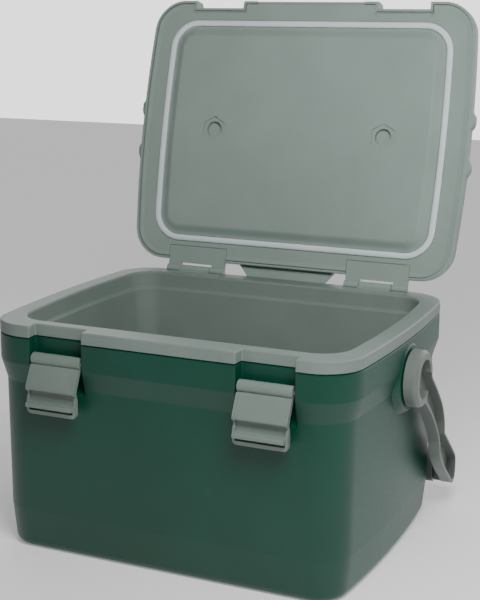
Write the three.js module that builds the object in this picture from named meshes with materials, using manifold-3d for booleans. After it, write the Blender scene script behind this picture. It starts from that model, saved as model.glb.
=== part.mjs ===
// Cooler chest with a hinged lid, two front latches and a swinging carry handle.
// Millimetres, +Z up. Origin: centre of the flat base, on the floor. Front is -Y.
// The lid stands open at rest and the latches and the handle hang.

import * as THREE from 'three';
import { mergeVertices } from 'three/addons/utils/BufferGeometryUtils.js';
import Module from 'manifold-3d';

const wasm = await Module();
wasm.setup();

// ---------------------------------------------------------------- driving dimensions

const GAP = 0.3;                  // clearance between pieces that touch
const WALL = 3;                   // moulded wall thickness

const BODY = {
  halfWidth: 191.6,               // at the corners; the sides bow out beyond this
  bow: 8.4,                       // outward bow of each side at mid depth
  halfDepth: 160.2,
  corner: 38,
  height: 240,                    // floor to rim top
  rimBand: 12.2,                  // height of the grey band round the rim
  collarBottom: 200,              // lower edge of the upright collar
  chamferBottom: 179,             // where the inward slope below the collar ends
  bandTop: 43,                    // where the lower taper starts
  waistInset: 6,
  bandInset: 7,
  footInset: 11,
  footRadius: 9,
  notchBottom: 194,               // lower end of the recess behind each latch
};

const CAVITY = {
  halfWidth: 172,
  bow: 8,
  front: -131.5,
  back: 136.5,
  corner: 27,
  floor: 25,
  ledgeDrop: 18,                  // depth of the step below the rim top
  ledgeWidth: 4,
  draft: 9,                       // inward taper of the walls down to the floor
  floorRadius: 12,
};

const LATCH = {
  centreX: 112.2,
  width: 55.6,
  notchWidth: 59.2,
  notchDepth: 13.6,
  axisY: -155.4,
  axisZ: 207,
  barrelRadius: 6.2,
  pinRadius: 2.4,
  ledgeY: -152.4,                 // front face of the lid flange that the hook holds
  ledgeDepth: 9.5,
  ledgeBottom: 241,
  ledgeTop: 249.2,
};

const LID = {
  openAngle: 103,
  axisY: 157.2,
  axisZ: 242,
  halfWidth: 192.5,
  bow: 7.5,
  front: -160.7,
  back: 146.5,
  corner: 34,
  skirtBottom: 240.3,
  face: 242.8,                    // inner face of the lid when closed
  shoulder: 255,                  // top of the upright skirt
  top: 263,
  shoulderInset: 9,
  plugBottom: 237,
  bumpYs: [-32.2, 19.5],          // two thickenings on each flank
  bumpHalf: 9,
  bumpProud: 3.6,
  lipHalf: 58,                    // lip between the hinges
  fingerHalf: 66,                 // relief for the fingers in the front skirt
  wellX: 103.5,                   // two hexagonal recesses, each with a round hole
  wellY: -9.2,
  wellRadius: 15.3,
  holeRadius: 9.3,
};

const GASKET = {
  halfWidth: 171,
  bow: 3.5,
  front: -138.1,
  back: 124,
  corner: 32,
  width: 7,
  bottom: 240.25,
  groove: 2,                      // depth of its groove in the inner panel
};

const HINGE = {
  centreX: 111.4,
  width: 73.2,
  leafLength: 27.1,
  leafThickness: 2.6,
  knuckleRadius: 4.6,
  pinRadius: 1.8,
  tabWidth: 38,                   // middle knuckle, on the body leaf
};

const HANDLE = {
  pivotY: 4.5,
  pivotZ: 187.7,
  hubRadius: 29.2,
  hubFaceRadius: 25,              // of the hub's flat face inside its rounded edge
  hubRound: 6,                    // how far back that edge starts
  inner: 201.8,                   // inner and outer faces of the arms at the hub
  outer: 214.5,
  hubOuter: 216.2,
  bossRadius: 34,
  bossFlare: 7,
  bossFace: 201,
  pivotRadius: 9,
  pivotEnd: 205.6,
  web: 3,                         // thickness left behind the channel
  hubWeb: 5.2,
  pocketRadius: 19.7,             // round end of the channel inside the hub
  bendStart: 88,                  // Y from which the arms lean inwards
  bendSlope: 0.085,
  gripFront: 154.6,
  gripBack: 172.4,
  gripBottom: 23.5,
  gripTop: 62,
  gripEnd: 186,                   // where the grip bar meets the arms' feet
};

// Edges of a hanging arm in Y and Z, from the hub down to the grip and back up.
const ARM_FRONT = [
  [10, 163], [23, 153.5], [44.4, 136], [62, 117], [73, 101], [77, 86], [84, 76], [108, 57], [134.5, 40],
  [150, 29], [160, 25.5],
];
const ARM_BACK = [
  [167, 26.5], [172.4, 34], [172.4, 50], [167, 58], [152, 68.5], [125.5, 86], [97.5, 104.5],
  [95.5, 115.4], [89.5, 127], [78.7, 143.3], [61.1, 161.1], [44.2, 176.3], [30, 189], [20, 200],
];

// The same edges of the channel in its outer face.
const CHANNEL_FRONT = [
  [14, 165], [26, 155.5], [46.5, 138], [64.5, 118], [75.6, 102], [79.5, 87], [86, 78],
  [110, 59.5], [136, 42.5], [151, 32],
];
const CHANNEL_BACK = [
  [165, 30], [169.6, 36], [169.6, 49], [165, 56], [151, 65.6], [124.5, 83], [94.5, 103],
  [92.8, 114.6], [87.2, 125.6], [76.6, 141.6], [59, 159.2], [41.5, 174.6], [30, 185], [24, 190],
];

const COLOURS = {
  green: 0x1d4a3b,
  sage: 0x84918a,
  seal: 0xd5dcdd,
  foam: 0xe8e2cc,
  steel: 0xb4b7b8,
};

// ---------------------------------------------------------------- shape helpers

function toSolid(geometry) {
  const bare = geometry.clone();
  bare.deleteAttribute('normal');
  bare.deleteAttribute('uv');
  const merged = mergeVertices(bare, 1e-5);
  return new wasm.Manifold(new wasm.Mesh({
    numProp: 3,
    vertProperties: new Float32Array(merged.attributes.position.array),
    triVerts: new Uint32Array(merged.index.array),
  }));
}

function toGeometry(solid) {
  const mesh = solid.getMesh();
  const geometry = new THREE.BufferGeometry();
  geometry.setAttribute('position', new THREE.BufferAttribute(mesh.vertProperties, 3));
  geometry.setIndex(new THREE.BufferAttribute(mesh.triVerts, 1));
  geometry.computeVertexNormals();
  return geometry;
}

function union(solids) {
  return solids.reduce((sum, solid) => sum.add(solid));
}

function cut(solid, tools) {
  return tools.reduce((rest, tool) => rest.subtract(tool), solid);
}

function box(x, y, z) {
  const geometry = new THREE.BoxGeometry(x[1] - x[0], y[1] - y[0], z[1] - z[0]);
  geometry.translate((x[0] + x[1]) / 2, (y[0] + y[1]) / 2, (z[0] + z[1]) / 2);
  return toSolid(geometry);
}

// A cylinder along X between two x values.
function rod(radius, x, y, z, sides = 32) {
  const geometry = new THREE.CylinderGeometry(radius, radius, x[1] - x[0], sides);
  geometry.rotateZ(-Math.PI / 2);
  geometry.translate((x[0] + x[1]) / 2, y, z);
  return toSolid(geometry);
}

// A round solid about a line along X, through [distance from the middle, radius] stations.
function spindle(side, stations, y, z) {
  return union(stations.slice(1).map(([x1, radius1], at) => {
    const [x0, radius0] = stations[at];
    const geometry = new THREE.CylinderGeometry(radius1, radius0, x1 - x0, 48);
    geometry.rotateZ(-side * Math.PI / 2);
    geometry.translate(side * (x0 + x1) / 2, y, z);
    return toSolid(geometry);
  }));
}

// A profile drawn in Y and Z, extruded along X between two x values.
function sidePrism(profile, x) {
  const shape = new THREE.Shape(points(profile));
  const geometry = new THREE.ExtrudeGeometry(shape, { depth: x[1] - x[0], bevelEnabled: false });
  const turn = new THREE.Matrix4().makeBasis(
    new THREE.Vector3(0, 1, 0), new THREE.Vector3(0, 0, 1), new THREE.Vector3(1, 0, 0));
  geometry.applyMatrix4(turn);
  geometry.translate(x[0], 0, 0);
  return toSolid(geometry);
}

// A profile drawn in X and Y, extruded upwards between two z values.
function upPrism(profile, z) {
  const shape = new THREE.Shape(points(profile));
  const geometry = new THREE.ExtrudeGeometry(shape, { depth: z[1] - z[0], bevelEnabled: false });
  geometry.translate(0, 0, z[0]);
  return toSolid(geometry);
}

function points(pairs) {
  return pairs.map(([a, b]) => new THREE.Vector2(a, b));
}

// A rounded rectangle whose two sides bow outwards, as a ring of points.
function outline({ halfWidth, bow, front, back, corner }, inset = 0) {
  const half = halfWidth - inset;
  const low = front + inset;
  const high = back - inset;
  const radius = Math.max(corner - inset, 2);
  const shape = new THREE.Shape();
  shape.moveTo(half, low + radius);
  for (let step = 1; step <= 6; step += 1) {
    shape.lineTo(half, low + radius + (high - low - 2 * radius) * step / 6);
  }
  shape.absarc(half - radius, high - radius, radius, 0, Math.PI / 2);
  shape.absarc(-half + radius, high - radius, radius, Math.PI / 2, Math.PI);
  for (let step = 1; step <= 6; step += 1) {
    shape.lineTo(-half, high - radius - (high - low - 2 * radius) * step / 6);
  }
  shape.absarc(-half + radius, low + radius, radius, Math.PI, Math.PI * 1.5);
  shape.absarc(half - radius, low + radius, radius, Math.PI * 1.5, Math.PI * 2);
  const ring = shape.getPoints(4);
  const middle = (low + high) / 2;
  const reach = (high - low) / 2;
  return ring.slice(0, -1).map(({ x, y }) => {
    const swell = 1 + (bow / half) * (1 - ((y - middle) / reach) ** 2);
    return new THREE.Vector2(x * swell, y);
  });
}

// A closed solid through rings of equal point counts, lowest ring first.
function loft(rings) {
  const count = rings[0].points.length;
  const positions = rings.flatMap(({ points: ring, z }) => ring.flatMap(({ x, y }) => [x, y, z]));
  const index = [];
  for (let level = 0; level < rings.length - 1; level += 1) {
    for (let at = 0; at < count; at += 1) {
      const a = level * count + at;
      const b = level * count + (at + 1) % count;
      index.push(a, b, b + count, a, b + count, a + count);
    }
  }
  const top = (rings.length - 1) * count;
  for (const [a, b, c] of THREE.ShapeUtils.triangulateShape(rings[0].points, [])) {
    index.push(a, c, b);
  }
  for (const [a, b, c] of THREE.ShapeUtils.triangulateShape(rings.at(-1).points, [])) {
    index.push(top + a, top + b, top + c);
  }
  return new wasm.Manifold(new wasm.Mesh({
    numProp: 3,
    vertProperties: new Float32Array(positions),
    triVerts: new Uint32Array(index),
  }));
}

// Rings of one outline at several [z, inset] levels, lofted.
function tower(base, levels) {
  return loft(levels.map(([z, inset]) => ({ points: outline(base, inset), z })));
}

// Levels of a quarter-round edge that turns inwards to a flat at z.
function roundLevels(z, inset, radius, steps, upwards) {
  const levels = [];
  for (let step = 0; step <= steps; step += 1) {
    const angle = (Math.PI / 2) * step / steps;
    const rise = radius * (1 - Math.cos(angle));
    const run = radius * (1 - Math.sin(angle));
    levels.push([upwards ? z - rise : z + rise, inset + run]);
  }
  return upwards ? levels.reverse() : levels;
}

function mirrored(build) {
  return [[-1, 'left'], [1, 'right']].map(([side, word]) => build(side, word));
}

// Two x values ordered for one side of the object.
function span(side, inner, outer) {
  return side > 0 ? [inner, outer] : [-outer, -inner];
}

// ---------------------------------------------------------------- body

const bodyOutline = {
  halfWidth: BODY.halfWidth,
  bow: BODY.bow,
  front: -BODY.halfDepth,
  back: BODY.halfDepth,
  corner: BODY.corner,
};

const bandBottom = BODY.height - BODY.rimBand;

function notchBox(grow, depthGrow, bottom, top) {
  return mirrored((side) => box(
    [side * LATCH.centreX - LATCH.notchWidth / 2 - grow, side * LATCH.centreX + LATCH.notchWidth / 2 + grow],
    [-BODY.halfDepth - 5, -BODY.halfDepth + LATCH.notchDepth + depthGrow],
    [bottom, top]));
}

function bodyOuter() {
  return tower(bodyOutline, [
    ...roundLevels(0, BODY.footInset, BODY.footRadius, 4, false),
    [BODY.bandTop, BODY.bandInset],
    [BODY.chamferBottom, BODY.waistInset],
    [BODY.collarBottom, 0],
    [bandBottom - GAP, 0],
  ]);
}

function bodyHollow() {
  return tower(bodyOutline, [
    [WALL, BODY.footInset + BODY.footRadius],
    [WALL + BODY.footRadius, BODY.footInset + WALL],
    [BODY.bandTop, BODY.bandInset + WALL],
    [BODY.chamferBottom, BODY.waistInset + WALL],
    [BODY.collarBottom, WALL],
    [bandBottom + 1, WALL],
  ]);
}

function handleBoss(side) {
  const { bossRadius, bossFlare, bossFace, pivotY, pivotZ } = HANDLE;
  return spindle(side, [[bossFace - 14, bossRadius + bossFlare], [bossFace, bossRadius]], pivotY, pivotZ);
}

function outerShell() {
  const { pivotRadius, bossFace, pivotY, pivotZ } = HANDLE;
  const { axisY, axisZ, pinRadius, centreX, notchWidth } = LATCH;
  const skin = cut(bodyOuter(), [bodyHollow()]);
  const bosses = mirrored((side) => handleBoss(side));
  const boxes = notchBox(WALL, WALL, BODY.notchBottom - WALL, bandBottom - GAP);
  const pockets = boxes.map((solid) => solid.intersect(bodyOuter()));
  const pivots = mirrored((side) => rod(
    pivotRadius + GAP, span(side, bossFace - 6, bossFace + 5), pivotY, pivotZ));
  const pinEnd = notchWidth / 2 + 2;
  const pins = mirrored((side) => rod(
    pinRadius + GAP, [side * centreX - pinEnd, side * centreX + pinEnd], axisY, axisZ, 16));
  const notches = notchBox(0, 0, BODY.notchBottom, BODY.height);
  const above = box([-250, 250], [-200, 200], [bandBottom - GAP, BODY.height]);
  return cut(union([skin, ...bosses, ...pockets]), [...pivots, ...pins, ...notches, above]);
}

function cavityLevels(grow) {
  const { floor, ledgeDrop, ledgeWidth, draft, floorRadius } = CAVITY;
  const stepZ = BODY.height - ledgeDrop;
  return [
    [floor - grow, draft + ledgeWidth + floorRadius * 0.8 - grow],
    [floor - grow + floorRadius * 0.3, draft + ledgeWidth + floorRadius * 0.3 - grow],
    [floor - grow + floorRadius, draft + ledgeWidth - grow],
    [stepZ - grow, ledgeWidth - grow],
    [stepZ - grow + 1.5, 1 - grow],
  ];
}

function innerLiner() {
  const tub = tower(CAVITY, [...cavityLevels(WALL), [bandBottom + 1, 1 - WALL]]);
  const band = tower(bodyOutline, [
    [bandBottom, 0],
    ...roundLevels(BODY.height, 0, 2, 3, true),
  ]);
  const inside = tower(CAVITY, [...cavityLevels(0), [BODY.height - 2, 0.5], [BODY.height + 1, -1]]);
  const notches = notchBox(0, 0, bandBottom - 1, BODY.height + 1);
  return cut(union([tub, band]), [inside, ...notches, ...hingeRebates()]);
}

// Rebates in the rim's rear edge for the hinge knuckles and the body leaves.
function hingeRebates() {
  const { centreX, width, knuckleRadius, leafThickness } = HINGE;
  const x = (side) => [side * centreX - width / 2 - 1, side * centreX + width / 2 + 1];
  const deep = LID.axisZ - knuckleRadius - 1;
  return mirrored((side) => union([
    box(x(side), [LID.axisY - knuckleRadius - 1.5, BODY.halfDepth + 5], [deep, BODY.height + 5]),
    box(x(side), [LID.axisY - 18, BODY.halfDepth], [BODY.height - leafThickness - GAP, BODY.height + 5]),
  ]));
}

function bodyFoam() {
  const outer = tower(bodyOutline, [
    [WALL + GAP, BODY.footInset + BODY.footRadius + 1],
    [WALL + GAP + BODY.footRadius, BODY.footInset + WALL + 1],
    [BODY.bandTop, BODY.bandInset + WALL + 1],
    [BODY.chamferBottom, BODY.waistInset + WALL + 1],
    [BODY.collarBottom, WALL + 1],
    [bandBottom - 1, WALL + 1],
  ]);
  const grow = WALL + 1;
  const tub = tower(CAVITY, [...cavityLevels(grow), [bandBottom + 1, 1 - grow]]);
  const notchWalls = notchBox(WALL + 1, WALL + 1, BODY.notchBottom - WALL - 1, BODY.height);
  const { bossRadius, bossFlare, bossFace, pivotY, pivotZ } = HANDLE;
  const pivotWalls = mirrored((side) => rod(
    bossRadius + bossFlare + 1, span(side, bossFace - 15, bossFace), pivotY, pivotZ));
  return cut(outer, [tub, ...notchWalls, ...pivotWalls]);
}

// ---------------------------------------------------------------- lid, drawn closed

// X limits of a latch notch, widened by grow at each end.
function notchX(side, grow) {
  const half = LATCH.notchWidth / 2 + grow;
  return [side * LATCH.centreX - half, side * LATCH.centreX + half];
}

function lidPocket(grow) {
  return mirrored((side) => box(
    notchX(side, grow),
    [LID.front - 5, LATCH.ledgeY + LATCH.ledgeDepth + grow],
    [LID.skirtBottom - 5, LID.top + 5]));
}

// The cuts that leave a flange for each latch hook.
function lidNotches() {
  const { ledgeY, ledgeDepth, ledgeTop, ledgeBottom } = LATCH;
  return mirrored((side) => union([
    box(notchX(side, 0), [LID.front - 5, ledgeY], [LID.skirtBottom - 5, LID.top + 5]),
    box(notchX(side, 0), [LID.front - 5, ledgeY + ledgeDepth], [ledgeTop, LID.top + 5]),
    box(notchX(side, 0), [LID.front - 5, ledgeY + ledgeDepth], [LID.skirtBottom - 5, ledgeBottom]),
  ]));
}

function sideBumps() {
  const flank = LID.halfWidth + LID.bow;
  const inner = flank - WALL + 0.5;
  const crest = flank + LID.bumpProud;
  const { bumpHalf } = LID;
  return LID.bumpYs.flatMap((y) => mirrored((side) => upPrism([
    [side * inner, y - bumpHalf], [side * (flank - 1), y - bumpHalf], [side * crest, y - 3],
    [side * crest, y + 3], [side * (flank - 1), y + bumpHalf], [side * inner, y + bumpHalf],
  ], [LID.skirtBottom + 1, LID.shoulder - 1])));
}

// Lip between the hinges that drops behind the body when the lid opens.
function rearLip() {
  const { lipHalf, back, axisY } = LID;
  const end = lipHalf - 10;
  return upPrism([
    [-lipHalf, back - 2], [lipHalf, back - 2], [lipHalf, back], [end, axisY + 1], [end, axisY + 8.5],
    [-end, axisY + 8.5], [-end, axisY + 1], [-lipHalf, back],
  ], [LID.axisZ + 5.5, LID.shoulder]);
}

function lidOuterForm() {
  return tower(LID, [
    [LID.skirtBottom, 1],
    [LID.skirtBottom + 1, 0],
    [LID.shoulder, 0.5],
    [LID.shoulder + 3, 3],
    [LID.top, LID.shoulderInset + 2],
  ]);
}

function lidHollow(grow, bottom) {
  return tower(LID, [
    [bottom, WALL + grow],
    [LID.shoulder - 1, WALL + grow],
    [LID.top - WALL - grow, LID.shoulderInset + WALL + grow],
  ]);
}

function leafRecess(grow) {
  const { centreX, width, leafLength, leafThickness } = HINGE;
  return mirrored((side) => box(
    [side * centreX - width / 2 - grow, side * centreX + width / 2 + grow],
    [LID.axisY - leafLength - grow, LID.axisY + 20],
    [LID.skirtBottom - 5, LID.face + leafThickness + grow]));
}

function lidOuterShell() {
  const { knuckleRadius } = HINGE;
  const form = lidOuterForm();
  const pockets = lidPocket(WALL).map((solid) => solid.intersect(form));
  const skin = cut(form, [lidHollow(0, LID.skirtBottom - 1)]);
  const fingerLift = box(
    [-LID.fingerHalf, LID.fingerHalf],
    [LID.front - 5, LID.front + 2.2],
    [LID.skirtBottom - 1, LID.skirtBottom + 4]);
  const knuckleRoom = mirrored((side) => box(
    [side * HINGE.centreX - HINGE.width / 2 - GAP, side * HINGE.centreX + HINGE.width / 2 + GAP],
    [LID.axisY - knuckleRadius - 8, LID.axisY + 20],
    [LID.skirtBottom - 5, LID.axisZ + knuckleRadius + 1]));
  return cut(union([skin, ...pockets, ...sideBumps(), rearLip()]), [
    ...lidNotches(), ...leafRecess(GAP), ...knuckleRoom, fingerLift,
  ]);
}

function gasketRing(grow, z) {
  const outer = tower(GASKET, [[z[0], -grow], [z[1], -grow]]);
  const inner = tower(GASKET, [[z[0] - 1, GASKET.width + grow], [z[1] + 1, GASKET.width + grow]]);
  return cut(outer, [inner]);
}

// A shallow hexagonal recess with a round hole in its middle.
function hexWell(side) {
  const { wellX, wellY, wellRadius, holeRadius, plugBottom } = LID;
  const column = (radius, depth, sides) => toSolid(
    new THREE.CylinderGeometry(radius, radius, depth * 2, sides)
      .rotateX(Math.PI / 2).translate(side * wellX, wellY, plugBottom));
  return union([column(wellRadius, 1.4, 6), column(holeRadius, 6, 24)]);
}

function lidInnerPanel() {
  const plateTop = LID.face + 5.6;
  const plate = tower(LID, [[LID.face, WALL + GAP], [plateTop, WALL + GAP]]);
  const inside = GASKET.width + 3;
  const plug = tower(GASKET, [
    [LID.plugBottom, inside + 9],
    [LID.plugBottom + 1.2, inside + 5],
    [LID.plugBottom + 4, inside + 1.2],
    [LID.face + 1, inside],
  ]);
  const groove = gasketRing(GAP, [LID.face - 1, LID.face + GASKET.groove + GAP]);
  return cut(union([plate, plug]), [
    groove, ...lidPocket(WALL + GAP), ...leafRecess(GAP), ...mirrored(hexWell),
  ]);
}

function lidFoam() {
  const fill = tower(LID, [
    [LID.face + 6, WALL + 1],
    [LID.shoulder - 2, WALL + 1],
    [LID.top - WALL - 1, LID.shoulderInset + WALL + 2],
  ]);
  return cut(fill, lidPocket(WALL + 1));
}

function lidGasket() {
  return gasketRing(0, [GASKET.bottom, LID.face + GASKET.groove]);
}

// ---------------------------------------------------------------- hinges

function knuckleX(side, part) {
  const { centreX, width, tabWidth } = HINGE;
  const low = side * centreX - width / 2;
  const high = side * centreX + width / 2;
  const tabLow = side * centreX - tabWidth / 2;
  const tabHigh = side * centreX + tabWidth / 2;
  return { low: [low, tabLow - GAP], middle: [tabLow, tabHigh], high: [tabHigh + GAP, high] }[part];
}

function lidLeaf(side) {
  const { centreX, width, leafLength, leafThickness, knuckleRadius, pinRadius } = HINGE;
  const x = [side * centreX - width / 2, side * centreX + width / 2];
  const z = [LID.face, LID.face + leafThickness];
  const plate = box(x, [LID.axisY - leafLength, LID.axisY - knuckleRadius - 1], z);
  const arms = ['low', 'high'].map((part) => union([
    box(knuckleX(side, part), [LID.axisY - knuckleRadius - 2, LID.axisY], z),
    rod(knuckleRadius, knuckleX(side, part), LID.axisY, LID.axisZ, 20),
  ]));
  return cut(union([plate, ...arms]), [rod(pinRadius + GAP, [x[0] - 1, x[1] + 1], LID.axisY, LID.axisZ, 16)]);
}

function bodyLeaf(side) {
  const { centreX, width, leafThickness, knuckleRadius, pinRadius } = HINGE;
  const x = [side * centreX - width / 2, side * centreX + width / 2];
  const middle = knuckleX(side, 'middle');
  const top = BODY.height;
  const plate = box(x, [LID.axisY - 18 + GAP, LID.axisY - knuckleRadius - 1.2], [top - leafThickness, top]);
  const tab = union([
    box(middle, [LID.axisY - knuckleRadius - 2, LID.axisY], [top - leafThickness, top]),
    rod(knuckleRadius, middle, LID.axisY, LID.axisZ, 20),
  ]);
  return cut(union([plate, tab]), [rod(pinRadius + GAP, [x[0] - 1, x[1] + 1], LID.axisY, LID.axisZ, 16)]);
}

function hingePin(side) {
  const { centreX, width, pinRadius } = HINGE;
  const x = [side * centreX - width / 2 + 0.5, side * centreX + width / 2 - 0.5];
  return rod(pinRadius, x, LID.axisY, LID.axisZ, 16);
}

// ---------------------------------------------------------------- latches, drawn hanging

function latch(side) {
  const { centreX, width, axisY, axisZ, barrelRadius, pinRadius } = LATCH;
  const x = [side * centreX - width / 2, side * centreX + width / 2];
  const at = (y, z) => [axisY - y, axisZ - z];
  const plate = sidePrism([
    at(5.6, -1), at(16.3, 27.4), at(16, 30), at(11.8, 31.4), at(11.8, 54), at(8.4, 54),
    at(7.2, 33), at(11.4, 27.6), at(1, 5),
  ], x);
  const ridge = sidePrism([
    at(10, 41.1), at(20.2, 41.7), at(21, 42.6), at(21, 45.6), at(20.2, 46.4), at(10, 47.4),
  ], [x[0] + 3, x[1] - 3]);
  const barrel = rod(barrelRadius, x, axisY, axisZ, 28);
  const bore = rod(pinRadius + GAP, [x[0] - 1, x[1] + 1], axisY, axisZ, 16);
  return cut(union([plate, ridge, barrel]), [bore]);
}

function latchPin(side) {
  const { centreX, notchWidth, axisY, axisZ, pinRadius } = LATCH;
  const half = notchWidth / 2 + 1.7;
  return rod(pinRadius, [side * centreX - half, side * centreX + half], axisY, axisZ, 16);
}

// ---------------------------------------------------------------- carry handle, hanging at the back

// Beyond bendStart an arm leans in towards the body.
function leanIn(solid, side) {
  const { bendStart, bendSlope } = HANDLE;
  const lean = new THREE.Matrix4().makeShear(0, 0, -side * bendSlope, 0, 0, 0);
  lean.setPosition(side * bendSlope * bendStart, 0, 0);
  const straight = solid.intersect(box([-250, 250], [-100, bendStart + 0.01], [0, 300]));
  const leaning = solid.intersect(box([-250, 250], [bendStart, 250], [0, 300]));
  return union([straight, leaning.transform(lean.elements)]);
}

function handleHub(side) {
  const { inner, hubOuter, hubRadius, hubFaceRadius, hubRound, pivotY, pivotZ } = HANDLE;
  return spindle(side, [
    [inner, hubRadius],
    [hubOuter - hubRound, hubRadius],
    [hubOuter - hubRound * 0.3, hubRadius - (hubRadius - hubFaceRadius) * 0.35],
    [hubOuter, hubFaceRadius],
  ], pivotY, pivotZ);
}

function handleArm(side) {
  const { inner, outer, hubOuter, web, hubWeb, pocketRadius } = HANDLE;
  const { pivotY, pivotZ, pivotRadius, pivotEnd } = HANDLE;
  const { gripEnd, gripFront, gripBack, gripBottom, gripTop, bendStart, bendSlope } = HANDLE;
  const arm = sidePrism([...ARM_FRONT, ...ARM_BACK], span(side, inner, outer));
  const channel = sidePrism([...CHANNEL_FRONT, ...CHANNEL_BACK], span(side, inner + web, hubOuter + 5));
  const footEnd = inner - bendSlope * (gripFront - bendStart) + 1.5;
  const foot = box(span(side, gripEnd, footEnd), [gripFront, gripBack], [gripBottom + 3, gripTop - 8]);
  const pocket = rod(pocketRadius, span(side, inner + hubWeb, hubOuter + 5), pivotY, pivotZ, 40);
  const bore = rod(pivotRadius + GAP, span(side, inner - 5, pivotEnd + GAP), pivotY, pivotZ);
  return cut(union([leanIn(arm, side), handleHub(side), foot]), [leanIn(channel, side), pocket, bore]);
}

function handleGrip() {
  const { gripFront, gripBack, gripBottom, gripTop, gripEnd } = HANDLE;
  const edge = 4;
  return sidePrism([
    [gripFront + edge, gripBottom], [gripBack - edge, gripBottom], [gripBack, gripBottom + edge],
    [gripBack, gripTop - edge], [gripBack - edge, gripTop], [gripFront + edge, gripTop],
    [gripFront, gripTop - edge], [gripFront, gripBottom + edge],
  ], [-gripEnd + GAP, gripEnd - GAP]);
}

function handlePivot(side) {
  const { pivotRadius, bossFace, pivotEnd, pivotY, pivotZ } = HANDLE;
  return rod(pivotRadius, span(side, bossFace - 6 + GAP, pivotEnd), pivotY, pivotZ, 32);
}

// ---------------------------------------------------------------- assembly

const materials = {
  green: new THREE.MeshStandardMaterial({ color: COLOURS.green, roughness: 0.5, metalness: 0 }),
  sage: new THREE.MeshStandardMaterial({ color: COLOURS.sage, roughness: 0.6, metalness: 0 }),
  seal: new THREE.MeshStandardMaterial({ color: COLOURS.seal, roughness: 0.55, metalness: 0 }),
  foam: new THREE.MeshStandardMaterial({ color: COLOURS.foam, roughness: 0.95, metalness: 0 }),
  steel: new THREE.MeshStandardMaterial({ color: COLOURS.steel, roughness: 0.3, metalness: 1 }),
};

function piece(name, solid, material) {
  const mesh = new THREE.Mesh(toGeometry(solid), material);
  mesh.name = name;
  return mesh;
}

function bodyGroup() {
  const group = new THREE.Group();
  group.add(piece('outer_shell', outerShell(), materials.green));
  group.add(piece('body_foam', bodyFoam(), materials.foam));
  group.add(piece('inner_liner', innerLiner(), materials.sage));
  mirrored((side, word) => {
    group.add(piece(`hinge_body_leaf_${word}`, bodyLeaf(side), materials.sage));
    group.add(piece(`latch_pin_${word}`, latchPin(side), materials.steel));
    group.add(piece(`handle_pivot_${word}`, handlePivot(side), materials.sage));
  });
  return group;
}

// The lid is drawn closed and turned open about the hinge axis.
function lidGroup() {
  const group = new THREE.Group();
  const closed = new THREE.Group();
  closed.position.set(0, -LID.axisY, -LID.axisZ);
  closed.add(piece('lid_outer_shell', lidOuterShell(), materials.sage));
  closed.add(piece('lid_foam', lidFoam(), materials.foam));
  closed.add(piece('lid_inner_panel', lidInnerPanel(), materials.sage));
  closed.add(piece('lid_gasket', lidGasket(), materials.seal));
  mirrored((side, word) => {
    closed.add(piece(`hinge_lid_leaf_${word}`, lidLeaf(side), materials.sage));
    closed.add(piece(`hinge_pin_${word}`, hingePin(side), materials.steel));
  });
  group.position.set(0, LID.axisY, LID.axisZ);
  group.rotation.x = -THREE.MathUtils.degToRad(LID.openAngle);
  group.add(closed);
  return group;
}

function latchGroup() {
  const group = new THREE.Group();
  mirrored((side, word) => group.add(piece(`latch_${word}`, latch(side), materials.sage)));
  return group;
}

function handleGroup() {
  const group = new THREE.Group();
  mirrored((side, word) => group.add(piece(`handle_arm_${word}`, handleArm(side), materials.sage)));
  group.add(piece('handle_grip', handleGrip(), materials.sage));
  return group;
}

const cooler = new THREE.Group();
cooler.name = 'cooler_chest';
cooler.add(bodyGroup(), lidGroup(), latchGroup(), handleGroup());

export default cooler;
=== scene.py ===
"""Cooler chest: finished surfaces, materials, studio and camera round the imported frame. Metres."""
import math

import bmesh
import bpy
from mathutils import Matrix, Vector


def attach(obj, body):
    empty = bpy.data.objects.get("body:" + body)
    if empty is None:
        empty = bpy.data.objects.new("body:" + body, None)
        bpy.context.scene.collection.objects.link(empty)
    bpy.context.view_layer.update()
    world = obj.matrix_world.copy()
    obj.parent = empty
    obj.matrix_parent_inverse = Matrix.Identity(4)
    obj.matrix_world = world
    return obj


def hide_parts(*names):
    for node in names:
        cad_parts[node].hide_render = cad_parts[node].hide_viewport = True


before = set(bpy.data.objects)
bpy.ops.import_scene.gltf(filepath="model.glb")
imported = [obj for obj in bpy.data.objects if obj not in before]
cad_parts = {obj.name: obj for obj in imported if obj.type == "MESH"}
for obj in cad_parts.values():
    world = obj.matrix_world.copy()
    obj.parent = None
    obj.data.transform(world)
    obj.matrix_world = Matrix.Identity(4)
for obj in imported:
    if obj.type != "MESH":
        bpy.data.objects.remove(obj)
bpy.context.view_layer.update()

MM = 0.001

# ---------------------------------------------------------------- driving dimensions, in millimetres

BODY = dict(half_width=191.6, bow=8.4, front=-160.2, back=160.2, corner=38.0)
WALL = 3.0
RIM_TOP = 240.0
BAND_BOTTOM = 227.8
COLLAR_BOTTOM = 200.0
CHAMFER_BOTTOM = 179.0
WAIST_INSET = 6.0
FOOT_INSET = 11.0
FOOT_RADIUS = 9.0
TAPER_TOP = 43.0

CAVITY = dict(half_width=172.0, bow=8.0, front=-131.5, back=136.5, corner=27.0)
CAVITY_FLOOR = 25.0
LEDGE_Z = RIM_TOP - 18.0

NOTCH_CENTRE = 112.2
NOTCH_HALF = 29.6
NOTCH_DEPTH = 13.6

LID = dict(half_width=192.5, bow=7.5, front=-160.7, back=146.5, corner=34.0)
LID_AXIS = (157.2, 242.0)
LID_OPEN = math.radians(103)
LID_SKIRT = 240.3
LID_FACE = 242.8
LID_SHOULDER = 255.0
LID_TOP = 263.0
LID_NOTCH = 8.3
LID_CATCH = 17.8
CATCH_TOP = 249.2
BUMP_PLACES = (-32.2, 19.5)
BUMP_PROUD = 3.6
LIP_BOTTOM = 247.6
LIP_HALF = 58.0

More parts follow.
